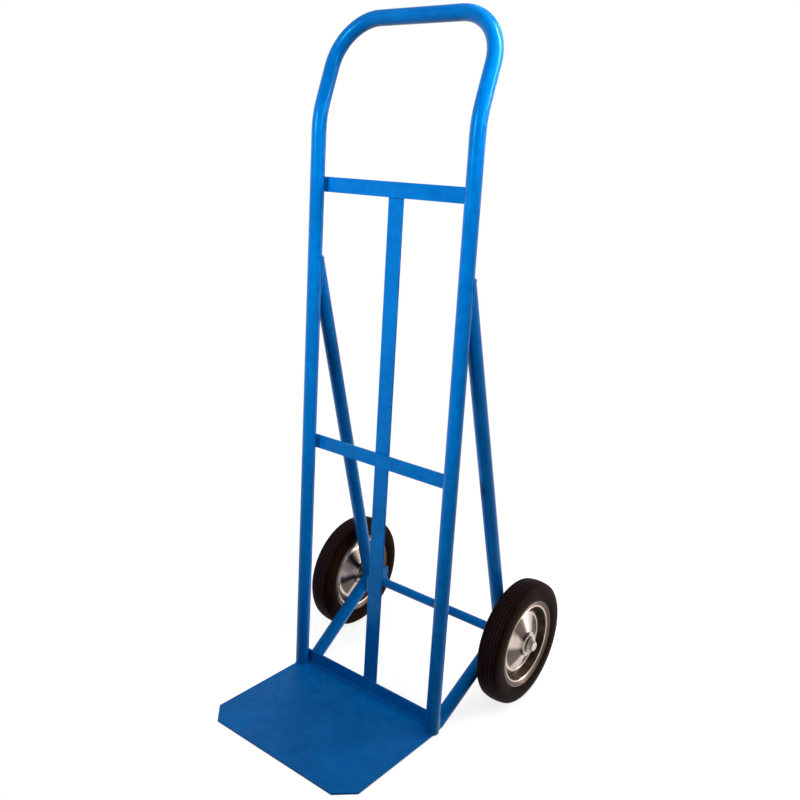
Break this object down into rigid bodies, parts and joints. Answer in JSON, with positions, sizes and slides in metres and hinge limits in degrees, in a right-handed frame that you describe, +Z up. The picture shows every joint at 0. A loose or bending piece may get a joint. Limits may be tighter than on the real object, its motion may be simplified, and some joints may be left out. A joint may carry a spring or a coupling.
{
  "type": "hand truck",
  "caption": "Upright hand trolley: a bent steel tube hoop with flat cross bars and strap, a folded toe plate, braced axle and solid-tyred wheels on pressed rims.",
  "frame": {"origin": "on the floor, in the middle of the outline seen from above", "axes": "+X to the right as seen from the load side, +Y back towards the wheels, +Z up along the uprights"},
  "size_m": [0.5104, 0.59, 1.2856],
  "materials": {
    "blue_paint": "semi-gloss bright blue enamel",
    "axle_steel": "drawn steel rod, painted blue between the braces",
    "zinc_hardware": "bright zinc plate",
    "hub_steel": "turned steel",
    "rim_steel": "pressed steel, bright zinc plate",
    "bearing_steel": "ground bearing steel",
    "black_rubber": "matt solid rubber"
  },
  "bodies": {
    "frame": {"frame_hoop": "blue_paint", "upper_crossbar": "blue_paint", "lower_crossbar": "blue_paint", "centre_strap": "blue_paint", "toe_plate": "blue_paint", "axle": "axle_steel", "left_rear_brace": "blue_paint", "left_lower_brace": "blue_paint", "left_axle_bracket": "blue_paint", "left_inner_washer": "zinc_hardware", "left_outer_washer": "zinc_hardware", "left_split_pin": "zinc_hardware", "left_bearing_spacer": "bearing_steel", "left_inner_bearing_cone": "bearing_steel", "left_outer_bearing_cone": "bearing_steel", "right_rear_brace": "blue_paint", "right_lower_brace": "blue_paint", "right_axle_bracket": "blue_paint", "right_inner_washer": "zinc_hardware", "right_outer_washer": "zinc_hardware", "right_split_pin": "zinc_hardware", "right_bearing_spacer": "bearing_steel", "right_inner_bearing_cone": "bearing_steel", "right_outer_bearing_cone": "bearing_steel"},
    "left_wheel": {"left_tyre": "black_rubber", "left_hub_sleeve": "hub_steel", "left_inner_rim_half": "rim_steel", "left_inner_bearing_cup": "bearing_steel", "left_inner_bearing_balls": "bearing_steel", "left_inner_ball_cage": "bearing_steel", "left_outer_rim_half": "rim_steel", "left_outer_bearing_cup": "bearing_steel", "left_outer_bearing_balls": "bearing_steel", "left_outer_ball_cage": "bearing_steel"},
    "right_wheel": {"right_tyre": "black_rubber", "right_hub_sleeve": "hub_steel", "right_inner_rim_half": "rim_steel", "right_inner_bearing_cup": "bearing_steel", "right_inner_bearing_balls": "bearing_steel", "right_inner_ball_cage": "bearing_steel", "right_outer_rim_half": "rim_steel", "right_outer_bearing_cup": "bearing_steel", "right_outer_bearing_balls": "bearing_steel", "right_outer_ball_cage": "bearing_steel"}
  },
  "joints": [
    {"name": "left_wheel_spin", "type": "hinge", "parent": "frame", "child": "left_wheel", "pos_m": [-0.21867, 0.17, 0.125], "axis": [1, 0, 0], "continuous": true},
    {"name": "right_wheel_spin", "type": "hinge", "parent": "frame", "child": "right_wheel", "pos_m": [0.21867, 0.17, 0.125], "axis": [1, 0, 0], "continuous": true}
  ]
}
